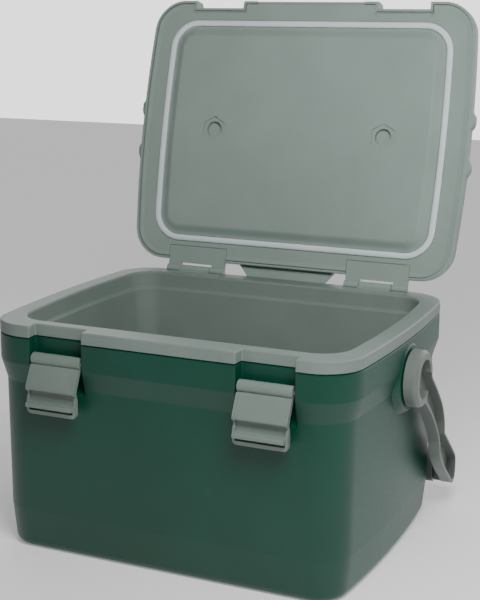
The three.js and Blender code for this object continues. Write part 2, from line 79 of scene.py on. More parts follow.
GASKET = dict(half_width=171.0, bow=3.5, front=-138.1, back=124.0, corner=32.0)
GASKET_WIDTH = 7.0
PLUG_FACE = 237.0
WELL = (103.5, -9.2)
WELL_RADIUS = 15.3
WELL_DEPTH = 1.6
HOLE_RADIUS = 9.3
HOLE_DEPTH = 7.0

HINGE_CENTRE = 111.4
HINGE_HALF = 36.6
TAB_HALF = 19.0
KNUCKLE = 4.6
LEAF_LENGTH = 27.1

LATCH_AXIS = (-155.4, 207.0)
LATCH_HALF = 27.8
LATCH_LENGTH = 53.8
LATCH_RIM = 2.6
BARREL = 6.2

HUB = (4.5, 187.7)
HUB_RADIUS = 29.2
ARM_INNER = 201.8
ARM_OUTER = 214.5
HUB_OUTER = 216.2
LEAN_START = 88.0
LEAN_SLOPE = 0.085
GRIP = dict(front=154.6, back=172.4, bottom=23.5, top=62.0, end=186.0)

CORNER_STEPS = 12
SIDE_STEPS = 64

# ---------------------------------------------------------------- outlines and lofts


def arc_profile(points, radii, steps=6):
    """The open polyline through points with each inner corner rounded to its radius."""
    rounded = [Vector(points[0])]
    for before, here, after, radius in zip(points, points[1:], points[2:], radii):
        here = Vector(here)
        a = (Vector(before) - here).normalized()
        b = (Vector(after) - here).normalized()
        if radius <= 0:
            rounded.append(here)
            continue
        half = math.acos(max(-1, min(1, a.dot(b)))) / 2
        reach = radius / math.tan(half)
        middle = here + (a + b).normalized() * (radius / math.sin(half))
        start = here + a * reach - middle
        end = here + b * reach - middle
        for step in range(steps + 1):
            spoke = start.slerp(end, step / steps).normalized() * radius
            rounded.append(middle + spoke)
    rounded.append(Vector(points[-1]))
    return rounded


def corner_arc(cx, cy, radius, start):
    """Points of a quarter circle from an angle in quarter turns."""
    angles = [(start + step / CORNER_STEPS) * math.pi / 2 for step in range(CORNER_STEPS + 1)]
    return [(cx + radius * math.cos(a), cy + radius * math.sin(a)) for a in angles]


def front_edge(half, front, inset, notch):
    """The front edge from left to right; notch is (depth, flare) of its two latch notches."""
    low = front + inset
    if notch is None:
        xs = [-half + 2 * half * step / 33 for step in range(1, 33)]
        return [(x, low) for x in xs]
    depth, flare = notch
    wide = NOTCH_HALF + flare
    high = front + depth + flare
    if high < low + 0.05:
        around = (-1.2, -0.9, -0.6, -0.3, 0.3, 0.6, 0.9, 1.2)
        ends = [centre + end * wide for centre in (-NOTCH_CENTRE, NOTCH_CENTRE) for end in (-1, 1)]
        return [(place + shift, low) for place in ends for shift in around]
    line = [(-half, low)]
    for centre in (-NOTCH_CENTRE, NOTCH_CENTRE):
        line += [(centre - wide, low), (centre - wide, high), (centre + wide, high), (centre + wide, low)]
    line.append((half, low))
    radius = min(1.4, (high - low) * 0.4)
    return [tuple(p) for p in arc_profile(line, [radius] * 8, 3)][1:-1]


def ring(base, inset=0.0, notch=None, bumps=0.0):
    """A rounded rectangle with bowed sides, drawn in by inset."""
    half = base["half_width"] - inset
    low = base["front"] + inset
    high = base["back"] - inset
    radius = max(base["corner"] - inset, 1.0)
    run = high - low - 2 * radius
    side = [low + radius + run * step / SIDE_STEPS for step in range(1, SIDE_STEPS)]
    points = corner_arc(half - radius, low + radius, radius, 3)
    points += [(half, y) for y in side]
    points += corner_arc(half - radius, high - radius, radius, 0)
    points += corner_arc(-half + radius, high - radius, radius, 1)
    points += [(-half, y) for y in reversed(side)]
    points += corner_arc(-half + radius, low + radius, radius, 2)
    points += front_edge(half - radius, base["front"], inset, notch)
    middle = (low + high) / 2
    reach = (high - low) / 2
    swollen = []
    for x, y in points:
        swell = 1 + base["bow"] / half * max(0.0, 1 - ((y - middle) / reach) ** 2)
        bulge = math.copysign(bumps * bump_height(y), x) if abs(x) > half - 1 else 0.0
        swollen.append((x * swell + bulge, y))
    return swollen


def bump_height(y):
    """1 on a side bump, 0 away from it, with short slopes."""
    nearest = min(abs(y - place) for place in BUMP_PLACES)
    return max(0.0, min(1.0, (9.5 - nearest) / 4.0))


def make_object(name, verts, faces):
    mesh = bpy.data.meshes.new(name)
    mesh.from_pydata([Vector(v) * MM for v in verts], [], faces)
    mesh.update()
    obj = bpy.data.objects.new(name, mesh)
    bpy.context.scene.collection.objects.link(obj)
    return obj


def loft(name, rings, closed=False):
    """A skin through rings of (points, z); closed joins the last ring to the first."""
    count = len(rings[0][0])
    verts = [(x, y, z) for points, z in rings for x, y in points]
    faces = []
    spans = len(rings) if closed else len(rings) - 1
    for level in range(spans):
        low = level * count
        high = (level + 1) % len(rings) * count
        for at in range(count):
            nxt = (at + 1) % count
            faces.append((low + at, low + nxt, high + nxt, high + at))
    if not closed:
        top = (len(rings) - 1) * count
        faces.append(tuple(reversed(range(count))))
        faces.append(tuple(range(top, top + count)))
    return make_object(name, verts, faces)


def prism(name, profile, x0, x1):
    """A profile in Y and Z, extruded along X."""
    count = len(profile)
    verts = [(x0, y, z) for y, z in profile] + [(x1, y, z) for y, z in profile]
    faces = [tuple(reversed(range(count))), tuple(range(count, 2 * count))]
    for at in range(count):
        nxt = (at + 1) % count
        faces.append((at, nxt, nxt + count, at + count))
    obj = make_object(name, verts, faces)
    return outward(obj)


def outward(obj):
    """Faces turned to point outwards."""
    work = bmesh.new()
    work.from_mesh(obj.data)
    bmesh.ops.remove_doubles(work, verts=work.verts, dist=1e-7)
    bmesh.ops.recalc_face_normals(work, faces=work.faces)
    work.to_mesh(obj.data)
    work.free()
    return obj


def circle(cy, cz, radius, steps=40):
    angles = [math.tau * step / steps for step in range(steps)]
    return [(cy + radius * math.cos(a), cz + radius * math.sin(a)) for a in angles]


def lathe_x(name, stations, cy, cz, steps=56):
    """A solid of revolution about an X axis through (x, radius) stations."""
    verts = []
    for x, radius in stations:
        verts += [(x, y, z) for y, z in circle(cy, cz, radius, steps)]
    faces = [tuple(reversed(range(steps)))]
    for level in range(len(stations) - 1):
        for at in range(steps):
            nxt = (at + 1) % steps
            low = level * steps
            faces.append((low + at, low + nxt, low + steps + nxt, low + steps + at))
    top = (len(stations) - 1) * steps
    faces.append(tuple(range(top, top + steps)))
    return outward(make_object(name, verts, faces))


def upright(name, outline, z0, z1):
    """An outline in X and Y, extruded along Z."""
    count = len(outline)
    verts = [(x, y, z0) for x, y in outline] + [(x, y, z1) for x, y in outline]
    faces = [tuple(range(count)), tuple(range(count, 2 * count))]
    faces += [(i, (i + 1) % count, (i + 1) % count + count, i + count) for i in range(count)]
    return outward(make_object(name, verts, faces))


def block(name, x, y, z):
    profile = [(y[0], z[0]), (y[1], z[0]), (y[1], z[1]), (y[0], z[1])]
    return prism(name, profile, x[0], x[1])


def combine(obj, tools, operation):
    """Boolean of obj with tools, applied, and the tools removed."""
    for tool in tools:
        mod = obj.modifiers.new("cut", "BOOLEAN")
        mod.solver = "MANIFOLD"
        mod.operation = operation
        mod.object = tool
    bake(obj)
    for tool in tools:
        bpy.data.objects.remove(tool)
    return obj


def bake(obj):
    """Applies every modifier."""
    graph = bpy.context.evaluated_depsgraph_get()
    mesh = bpy.data.meshes.new_from_object(obj.evaluated_get(graph))
    obj.modifiers.clear()
    obj.data = mesh


def soften(obj, width, angle=35, segments=3):
    """Rounds every edge sharper than angle."""
    mod = obj.modifiers.new("soft", "BEVEL")
    mod.width = width * MM
    mod.segments = segments
    mod.limit_method = "ANGLE"
    mod.angle_limit = math.radians(angle)
    mod.use_clamp_overlap = True
    bake(obj)
    return obj


def smooth(obj, angle=40):
    obj.data.shade_smooth()
    obj.data.set_sharp_from_angle(angle=math.radians(angle))
    mod = obj.modifiers.new("even_normals", "WEIGHTED_NORMAL")
    mod.keep_sharp = True
    mod.weight = 80
    return obj


def dress(obj, material, body, *nodes):
    """Material, colour slot, body and the CAD nodes that the piece stands for."""
    obj.data.materials.clear()
    obj.data.materials.append(material)
    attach(obj, body)
    if nodes:
        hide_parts(*nodes)
    return obj


def open_lid(obj):
    """Turns a piece drawn on the closed lid to where the open lid stands."""
    axis = Vector((0, LID_AXIS[0], LID_AXIS[1])) * MM
    turn = Matrix.Rotation(-LID_OPEN, 4, "X")
    obj.data.transform(Matrix.Translation(axis) @ turn @ Matrix.Translation(-axis))
    return obj


def mirror_copy(obj, name):
    """The piece on the other side of the chest."""
    twin = obj.copy()
    twin.data = obj.data.copy()
    twin.name = name
    bpy.context.scene.collection.objects.link(twin)
    twin.data.transform(Matrix.Scale(-1, 4, Vector((1, 0, 0))))
    twin.data.flip_normals()
    return twin


# ---------------------------------------------------------------- materials


class Nodes:
    """A short way to add and link shader nodes."""

    def __init__(self, name):
        self.material = bpy.data.materials.new(name)
        self.material.use_nodes = True
        self.tree = self.material.node_tree
        self.shader = self.tree.nodes["Principled BSDF"]

    def add(self, kind, **values):
        node = self.tree.nodes.new(kind)
        for key, value in values.items():
            if hasattr(node, key):
                setattr(node, key, value)
            else:
                node.inputs[key.replace("_", " ")].default_value = value
        return node

    def link(self, a, b):
        self.tree.links.new(a, b)

    def place(self):
        return self.add("ShaderNodeTexCoord").outputs["Object"]

    def drift(self, where, scale, spread, dark, colour, light):
        """Base colour that wanders slowly between three tones."""
        noise = self.add("ShaderNodeTexNoise", Scale=scale, Detail=3.0, Roughness=0.6)
        self.link(where, noise.inputs["Vector"])
        ramp = self.add("ShaderNodeValToRGB")
        ramp.color_ramp.elements[0].position = 0.5 - spread
        ramp.color_ramp.elements[0].color = (*dark, 1)
        ramp.color_ramp.elements[1].position = 0.5 + spread
        ramp.color_ramp.elements[1].color = (*light, 1)
        middle = ramp.color_ramp.elements.new(0.5)
        middle.color = (*colour, 1)
        self.link(noise.outputs["Fac"], ramp.inputs["Fac"])
        self.link(ramp.outputs["Color"], self.shader.inputs["Base Color"])


def moulded(name, colour, light, dark, roughness, grain_scale=900.0, grain_depth=0.12):
    """Moulded plastic: slow colour drift, a fine grain and uneven gloss."""
    n = Nodes(name)
    where = n.place()
    n.drift(where, 14.0, 0.18, dark, colour, light)
    grain = n.add("ShaderNodeTexNoise", Scale=grain_scale, Detail=4.0, Roughness=0.65)
    n.link(where, grain.inputs["Vector"])
    bump = n.add("ShaderNodeBump", Strength=grain_depth, Distance=0.0004)
    n.link(grain.outputs["Fac"], bump.inputs["Height"])
    n.link(bump.outputs["Normal"], n.shader.inputs["Normal"])
    gloss = n.add("ShaderNodeMapRange")
    gloss.inputs["To Min"].default_value = roughness - 0.05
    gloss.inputs["To Max"].default_value = roughness + 0.05
    n.link(grain.outputs["Fac"], gloss.inputs["Value"])
    n.link(gloss.outputs["Result"], n.shader.inputs["Roughness"])
    n.shader.inputs["Specular IOR Level"].default_value = 0.5
    return n.material


def hammered(name, colour, light, dark):
    """Green skin with a fine hammered relief that breaks up its highlights."""
    n = Nodes(name)
    where = n.place()
    cells = n.add("ShaderNodeTexVoronoi", Scale=520.0)
    cells.feature = "SMOOTH_F1"
    n.link(where, cells.inputs["Vector"])
    noise = n.add("ShaderNodeTexNoise", Scale=340.0, Detail=2.0, Roughness=0.5)
    n.link(where, noise.inputs["Vector"])
    mix = n.add("ShaderNodeMath", operation="ADD")
    n.link(cells.outputs["Distance"], mix.inputs[0])
    n.link(noise.outputs["Fac"], mix.inputs[1])
    bump = n.add("ShaderNodeBump", Strength=0.16, Distance=0.0006)
    n.link(mix.outputs["Value"], bump.inputs["Height"])
    n.link(bump.outputs["Normal"], n.shader.inputs["Normal"])
    n.drift(where, 9.0, 0.2, dark, colour, light)
    gloss = n.add("ShaderNodeMapRange")
    gloss.inputs["To Min"].default_value = 0.36
    gloss.inputs["To Max"].default_value = 0.48
    n.link(noise.outputs["Fac"], gloss.inputs["Value"])
    n.link(gloss.outputs["Result"], n.shader.inputs["Roughness"])
    n.shader.inputs["Specular IOR Level"].default_value = 0.5
    return n.material


def metal(name):
    """Turned steel pin with fine rings."""
    n = Nodes(name)
    n.shader.inputs["Metallic"].default_value = 1.0
    n.shader.inputs["Base Color"].default_value = (0.6, 0.61, 0.62, 1)
    rings = n.add("ShaderNodeTexWave", Scale=400.0, Distortion=1.0)
    n.link(n.place(), rings.inputs["Vector"])
    gloss = n.add("ShaderNodeMapRange")
    gloss.inputs["To Min"].default_value = 0.24
    gloss.inputs["To Max"].default_value = 0.36
    n.link(rings.outputs["Fac"], gloss.inputs["Value"])
    n.link(gloss.outputs["Result"], n.shader.inputs["Roughness"])
    return n.material


GREEN = hammered("green_hammertone", (0.0, 0.05, 0.029), (0.0, 0.055, 0.033), (0.0, 0.045, 0.025))
SAGE = moulded("sage_plastic", (0.24, 0.30, 0.271), (0.252, 0.314, 0.284), (0.228, 0.286, 0.258), 0.46)
LATCH = moulded("latch_plastic", (0.168, 0.21, 0.188), (0.178, 0.222, 0.2), (0.158, 0.198, 0.177), 0.44)
HANDLE = moulded("handle_plastic", (0.138, 0.16, 0.146), (0.146, 0.169, 0.155), (0.13, 0.151, 0.138), 0.42)
LINER = moulded("liner_plastic", (0.17, 0.212, 0.191), (0.18, 0.224, 0.202), (0.16, 0.2, 0.18), 0.5)
SEAL = moulded("gasket_rubber", (0.62, 0.69, 0.71), (0.65, 0.72, 0.74), (0.59, 0.66, 0.68), 0.5, 1200.0, 0.1)
FOAM = moulded("foam_fill", (0.8, 0.74, 0.56), (0.85, 0.8, 0.62), (0.74, 0.68, 0.5), 0.95, 500.0, 0.6)
STEEL = metal("pin_steel")

# ---------------------------------------------------------------- body


def smoothstep(t):
    t = max(0.0, min(1.0, t))
    return t * t * (3 - 2 * t)


def with_heights(profile, heights):
    """The profile of (inset, z) with extra points where it crosses the heights."""
    result = [profile[0]]
    for a, b in zip(profile, profile[1:]):
        between = [h for h in heights if min(a[1], b[1]) < h < max(a[1], b[1])]
        for h in sorted(between, reverse=b[1] < a[1]):
            share = (h - a[1]) / (b[1] - a[1])
            result.append((a[0] + share * (b[0] - a[0]), h))
        result.append(b)
    return result


def body_notch(z, flare):
    """The recess behind a latch keeps one back plane and fades out under the slope."""
    fade = (z - CHAMFER_BOTTOM + 8) / 9
    if fade < 0:
        return 0, flare
    return WAIST_INSET + (NOTCH_DEPTH - WAIST_INSET) * smoothstep(fade), flare


def outer_shell():
    """Green skin: foot, tapered lower wall, slope, upright collar, and its inner face."""
    seam = BAND_BOTTOM - 0.9
    out = arc_profile(
        [(40, 0), (FOOT_INSET, 0), (7, TAPER_TOP), (WAIST_INSET, CHAMFER_BOTTOM), (0, COLLAR_BOTTOM),
         (0, seam), (WALL, seam)],
        [FOOT_RADIUS, 4, 9, 5, 1.0], 7)
    back = [(WALL, COLLAR_BOTTOM), (WAIST_INSET + WALL, CHAMFER_BOTTOM), (FOOT_INSET + WALL, 13),
            (40, WALL)]
    heights = [CHAMFER_BOTTOM - 9] + [CHAMFER_BOTTOM - 8 + step for step in range(12)]
    rings = []
    for inset, z in with_heights([tuple(p) for p in out], heights):
        rings.append((ring(BODY, inset, body_notch(z, inset if z > COLLAR_BOTTOM + 5 else 0)), z))
    for inset, z in with_heights(back, heights):
        rings.append((ring(BODY, inset, body_notch(z, WALL)), z))
    return outward(loft("shell_skin", rings))


def boss_cones():
    """Flared seats that the handle's hubs turn on."""
    stations = [(189, 41), (192, 39.4), (195, 37.5), (198, 35.6), (199.8, 34.4), (200.7, 33.2), (201, 32)]
    return [lathe_x("boss", [(side * x, r) for x, r in stations], *HUB) for side in (-1, 1)]


shell = outer_shell()
smooth(shell, 32)
dress(shell, GREEN, "body", "outer_shell", "body_foam")
for seat in boss_cones():
    dress(smooth(seat, 32), GREEN, "body")


def liner():
    """Grey tub: rim band with latch notches, rounded rim, ledge, drafted walls and floor."""
    under = [(40, CAVITY_FLOOR - WALL), (20, CAVITY_FLOOR - WALL), (10.5, CAVITY_FLOOR + 8),
             (2, LEDGE_Z - WALL), (-3, LEDGE_Z - WALL), (-3, BAND_BOTTOM + 1)]
    hull = outward(loft("liner_hull", [(ring(CAVITY, inset), z) for inset, z in under]))
    edge = arc_profile([(3, BAND_BOTTOM), (0, BAND_BOTTOM), (0, RIM_TOP), (3, RIM_TOP)], [0.8, 1.8], 5)
    band = outward(loft("rim_band", [(ring(BODY, inset, (NOTCH_DEPTH, inset)), z) for inset, z in edge]))
    wall = arc_profile(
        [(60, CAVITY_FLOOR), (13.5, CAVITY_FLOOR), (5, LEDGE_Z), (0.9, LEDGE_Z), (0, RIM_TOP),
         (-4, RIM_TOP)],
        [13, 2.2, 1.4, 2.8], 6)
    wall.append(Vector((-4, RIM_TOP + 6)))
    hollow = outward(loft("hollow", [(ring(CAVITY, inset), z) for inset, z in wall]))
    return combine(combine(hull, [band], "UNION"), [hollow], "DIFFERENCE")


tub = liner()


def knuckle_rebates():
    tools = []
    for side in (-1, 1):
        low = side * HINGE_CENTRE - HINGE_HALF - 1
        high = side * HINGE_CENTRE + HINGE_HALF + 1
        tools.append(block("rebate", (low, high), (LID_AXIS[0] - KNUCKLE - 1.4, 170), (236.4, 246)))
    return tools


tub = combine(tub, knuckle_rebates(), "DIFFERENCE")
smooth(tub, 32)
dress(tub, LINER, "body", "inner_liner")

# ---------------------------------------------------------------- lid


def lid_bumps(z):
    rise = smoothstep((z - LID_SKIRT - 0.4) / 2.2)
    return BUMP_PROUD * rise * smoothstep((LID_SHOULDER + 3 - z) / 4)


def lid_shell():
    """Outer half of the lid; over each latch catch its front steps further back."""
    inside = [(28, LID_TOP - WALL), (11, LID_TOP - WALL), (WALL, LID_SHOULDER - 2), (WALL, LID_SKIRT)]
    outside = arc_profile(
        [inside[-1], (0, LID_SKIRT), (0, LID_SHOULDER), (11, LID_TOP), (28, LID_TOP)], [1.4, 5, 9], 5)
    ledge = CATCH_TOP - WALL
    rings = []
    for inset, z in with_heights(inside, [LID_SKIRT + 2.8, ledge - 0.02, ledge + 0.02])[:-1]:
        depth = LID_NOTCH if z < ledge else LID_CATCH
        rings.append((ring(LID, inset, (depth, WALL)), z))
    heights = [LID_SKIRT + 2.8, CATCH_TOP - 0.02, CATCH_TOP + 0.02]
    for inset, z in with_heights([tuple(p) for p in outside], heights):
        depth = LID_NOTCH if z < CATCH_TOP else LID_CATCH
        rings.append((ring(LID, inset, (depth, inset if z < CATCH_TOP else 0), lid_bumps(z)), z))
    return outward(loft("lid_skin", rings))


def rear_lip():
    root = LID["back"] - 8
    tip = LID_AXIS[0] + 8
    profile = arc_profile([(root, LIP_BOTTOM), (tip, LIP_BOTTOM), (tip, LID_SHOULDER - 1),
                           (root, LID_SHOULDER + 1)], [2, 3], 4)
    tab = prism("lip", [tuple(p) for p in profile], -LIP_HALF, LIP_HALF)
    trims = []
    for side in (-1, 1):
        wedge = [(LIP_HALF + 2, LID["back"]), (LIP_HALF + 2, 175), (LIP_HALF - 10, 175),
                 (LIP_HALF - 10, LID_AXIS[0] + 1), (LIP_HALF, LID["back"])]
        trims.append(upright("trim", [(side * x, y) for x, y in wedge], 240, 270))
    return combine(tab, trims, "DIFFERENCE")


def leaf_pockets(grow, depth):
    tools = []
    for side in (-1, 1):
        x = (side * HINGE_CENTRE - HINGE_HALF - grow, side * HINGE_CENTRE + HINGE_HALF + grow)
        deep = (LID_AXIS[0] - LEAF_LENGTH - grow, 175)
        tools.append(block("pocket", x, deep, (230, LID_FACE + depth)))
    return tools


def finger_lift():
    return block("finger", (-66, 66), (-170, LID["front"] + 3), (230, LID_SKIRT + 5))


skin = combine(lid_shell(), [rear_lip()], "UNION")
skin = combine(skin, leaf_pockets(0.5, 8.0) + [finger_lift()], "DIFFERENCE")
smooth(skin, 32)
dress(open_lid(skin), SAGE, "lid", "lid_outer_shell", "lid_foam")


def inner_face():
    """Inner half of the lid: edge, gasket groove and the raised plug inside it."""
    rim = arc_profile([(12, LID_SKIRT + 5), (3.3, LID_SKIRT + 5), (3.3, 241.4), (9, LID_FACE),
                       (12, LID_FACE)], [0.4, 1.2, 5], 4)
    rings = [(ring(LID, inset, (LID_NOTCH, min(inset, 5))), z) for inset, z in rim]
    groove = [(-0.4, 0), (-0.3, 1.6), (GASKET_WIDTH + 0.3, 1.6), (GASKET_WIDTH + 0.4, 0)]
    rings += [(ring(GASKET, inset, (0, -5)), LID_FACE + deep) for inset, deep in groove]
    for step in range(13):
        share = step / 12
        fall = (LID_FACE - PLUG_FACE) * smoothstep(share)
        rings.append((ring(GASKET, GASKET_WIDTH + 1.2 + 12 * share, (0, -5)), LID_FACE - fall))
    rings.append((ring(GASKET, 28, (0, -5)), PLUG_FACE))
    return outward(loft("lid_face", rings))


def hex_wells():
    """Hexagonal recesses, each with a deep round hole in its middle."""
    tools = []
    for side in (-1, 1):
        centre = side * WELL[0]
        corners = [(centre + WELL_RADIUS * math.sin(a), WELL[1] + WELL_RADIUS * math.cos(a))
                   for a in (math.tau * k / 6 for k in range(6))]
        tools.append(upright("hexagon", corners, 230, PLUG_FACE + WELL_DEPTH))
        tools.append(upright("hole", circle(centre, WELL[1], HOLE_RADIUS, 36), 230, PLUG_FACE + HOLE_DEPTH))
    return tools


face = combine(inner_face(), leaf_pockets(0.5, 3.2) + hex_wells(), "DIFFERENCE")
smooth(face, 32)
dress(open_lid(face), SAGE, "lid", "lid_inner_panel")


def gasket():
    """Soft seal with a rounded crown, in its groove."""
    section = [(0.0, LID_FACE + 1.4), (0.0, LID_FACE - 0.4)]
    for step in range(1, 8):
        angle = math.pi * step / 8
        section.append((GASKET_WIDTH / 2 * (1 - math.cos(angle)), LID_FACE - 0.4 - 2.1 * math.sin(angle)))
    section += [(GASKET_WIDTH, LID_FACE - 0.4), (GASKET_WIDTH, LID_FACE + 1.4)]
    rings = [(ring(GASKET, inset), z) for inset, z in section]
    return outward(loft("gasket_bead", rings, closed=True))


seal = smooth(gasket(), 60)
dress(open_lid(seal), SEAL, "lid", "lid_gasket")

# ---------------------------------------------------------------- hinges


def knuckle(name, x0, x1):
    stations = [(x0, KNUCKLE - 0.7), (x0 + 0.2, KNUCKLE - 0.2), (x0 + 0.7, KNUCKLE),
                (x1 - 0.7, KNUCKLE), (x1 - 0.2, KNUCKLE - 0.2), (x1, KNUCKLE - 0.7)]
    return lathe_x(name, stations, LID_AXIS[0], LID_AXIS[1], 32)


def lid_leaf(side):
    centre = side * HINGE_CENTRE
    gap = TAB_HALF + 0.4
    low = centre - HINGE_HALF
    high = centre + HINGE_HALF
    deep = (LID_AXIS[0] - LEAF_LENGTH, LID_AXIS[0] - 2)
    plate = block("leaf", (low, high), deep, (LID_FACE, LID_FACE + 2.6))
    slot = block("slot", (centre - gap, centre + gap), (LID_AXIS[0] - KNUCKLE - 2.2, 170), (230, 250))
    plate = combine(plate, [slot], "DIFFERENCE")
    rolls = [knuckle("roll", low, centre - gap), knuckle("roll", centre + gap, high)]
    plate = combine(plate, rolls, "UNION")
    return smooth(soften(plate, 0.35), 35)


def body_leaf(side):
    centre = side * HINGE_CENTRE
    middle = (centre - TAB_HALF, centre + TAB_HALF)
    whole = (centre - HINGE_HALF, centre + HINGE_HALF)
    plate = block("leaf", whole, (139.5, 151.2), (237.4, RIM_TOP + 0.1))
    tab = block("tab", middle, (150, LID_AXIS[0]), (237.6, RIM_TOP + 1.6))
    roll = knuckle("roll", *middle)
    return smooth(soften(combine(plate, [tab, roll], "UNION"), 0.35), 35)


for side, word in ((-1, "left"), (1, "right")):
    dress(open_lid(lid_leaf(side)), SAGE, "lid", f"hinge_lid_leaf_{word}").name = f"lid_leaf_{word}"
    dress(body_leaf(side), SAGE, "body", f"hinge_body_leaf_{word}").name = f"body_leaf_{word}"

# ---------------------------------------------------------------- latches


def latch_slab(profile, x0, x1):
    y0, z0 = LATCH_AXIS
    return prism("latch_slab", [(y0 - y, z0 - z) for y, z in profile], x0, x1)


def lower_corners(x0, x1, size):
    """Cutters that round the two bottom corners of a latch plate."""
    low = LATCH_AXIS[1] - LATCH_LENGTH
    tools = []
    for corner, end in ((x0, -1), (x1, 1)):
        turns = [math.pi / 2 * step / 8 for step in range(9)]
        inner = corner - end * size
        shape = [(inner + end * size * math.sin(a), low + size - size * math.cos(a)) for a in turns]
        shape += [(corner + end, low + size), (corner + end, low - 1), (inner, low - 1)]
        count = len(shape)
        verts = [(x, y, z) for y in (LATCH_AXIS[0] - 25, LATCH_AXIS[0]) for x, z in shape]
        faces = [tuple(range(count)), tuple(range(count, 2 * count))]
        faces += [(i, (i + 1) % count, (i + 1) % count + count, i + count) for i in range(count)]
        tools.append(outward(make_object("corner", verts, faces)))
    return tools


def latch(side):
    """Rolled top, sloping plate between side rims, overhung groove, pull ridge and rounded foot."""
    x0 = side * NOTCH_CENTRE - LATCH_HALF
    x1 = side * NOTCH_CENTRE + LATCH_HALF
    slab = [(1, 4), (6.2, 5.2), (16.6, 25.6), (16.3, 28.2), (12.7, 31.2), (12.6, 34), (15.2, 41.5),
            (15.0, 48), (13.6, LATCH_LENGTH), (9.2, LATCH_LENGTH), (9.0, 34), (11.6, 27.6), (1, 4)]
    edge = arc_profile(slab, [0.5, 1.8, 1.4, 1.6, 1, 3, 3, 1.5, 1.2, 2, 2], 4)
    plate = latch_slab([tuple(p) for p in edge[:-1]], x0, x1)
    dish = latch_slab([(4.4, 3.4), (16.2, 26.8), (26, 26.8), (16, 2)], x0 + LATCH_RIM, x1 - LATCH_RIM)
    recess = arc_profile([(26, 29.6), (15.6, 28.8), (11.2, 30.2), (11.0, 35.5), (12.2, 40.3), (26, 40.3)],
                         [0.6, 1.8, 1.6, 0.6], 4)
    groove = latch_slab([tuple(p) for p in recess], x0 + LATCH_RIM, x1 - LATCH_RIM)
    under = latch_slab([(26, 45.9), (11.0, 46.1), (11.0, 49.2), (26, 49.6)], x0 + LATCH_RIM, x1 - LATCH_RIM)
    plate = combine(plate, [dish, groove, under] + lower_corners(x0, x1, 5.0), "DIFFERENCE")
    plate = soften(plate, 0.55, 35, 2)
    bar = arc_profile([(10, 40.1), (20.9, 40.6), (20.9, 45.4), (10, 46.0), (10, 40.1)], [2.0, 1.6, 0], 5)
    ridge = soften(latch_slab([tuple(p) for p in bar[:-1]], x0 + 2.0, x1 - 2.0), 0.5, 60, 2)
    roll = soften(prism("roll", circle(*LATCH_AXIS, BARREL, 48), x0, x1), 0.7, 60, 2)
    return smooth(combine(plate, [roll, ridge], "UNION"), 35)


for side, word in ((-1, "left"), (1, "right")):
    dress(latch(side), LATCH, f"latch_{word}", f"latch_{word}").name = f"hook_{word}"

# ---------------------------------------------------------------- carry handle


def spline(points, steps=6):
    """Catmull-Rom curve through the points."""
    vectors = [Vector(p) for p in points]
    ends = [2 * vectors[0] - vectors[1]] + vectors + [2 * vectors[-1] - vectors[-2]]
    curve = []
    for a, b, c, d in zip(ends, ends[1:], ends[2:], ends[3:]):
        for step in range(steps):
            t = step / steps
            square = (2 * a - 5 * b + 4 * c - d) * t * t
            cube = (3 * b - a - 3 * c + d) * t ** 3
            curve.append(0.5 * (2 * b + (c - a) * t + square + cube))
    curve.append(vectors[-1])
    return [tuple(p) for p in curve]


ARM_FRONT = [(10, 163), (23, 153.5), (44.4, 136), (62, 117), (73, 101), (77, 86), (84, 76), (108, 57),
             (134.5, 40), (150, 29), (160, 25.5)]
ARM_END = [(167, 26.5), (172.4, 34), (172.4, 50), (167, 58)]
ARM_BACK = [(167, 58), (152, 68.5), (125.5, 86), (97.5, 104.5)]
ARM_TOP = [(97.5, 104.5), (95.5, 115.4), (89.5, 127), (78.7, 143.3), (61.1, 161.1), (44.2, 176.3),
           (30, 189), (20, 200)]
CHANNEL_FRONT = [(14, 165), (26, 155.5), (46.5, 138), (64.5, 118), (75.6, 102), (79.5, 87), (86, 78),
                 (110, 59.5), (136, 42.5), (151, 32)]
CHANNEL_END = [(165, 30), (169.6, 36), (169.6, 49), (165, 56)]
CHANNEL_BACK = [(165, 56), (151, 65.6), (124.5, 83), (94.5, 103)]
CHANNEL_TOP = [(94.5, 103), (92.8, 114.6), (87.2, 125.6), (76.6, 141.6), (59, 159.2), (41.5, 174.6),
               (30, 185), (24, 190)]


def lean_in(obj):
    """Past LEAN_START the arm leans in towards the body."""
    work = bmesh.new()
    work.from_mesh(obj.data)
    every = work.verts[:] + work.edges[:] + work.faces[:]
    bmesh.ops.bisect_plane(work, geom=every, plane_co=(0, LEAN_START * MM, 0), plane_no=(0, 1, 0))
    for vert in work.verts:
        vert.co.x -= LEAN_SLOPE * max(0.0, vert.co.y - LEAN_START * MM)
    work.to_mesh(obj.data)
    work.free()
    return obj


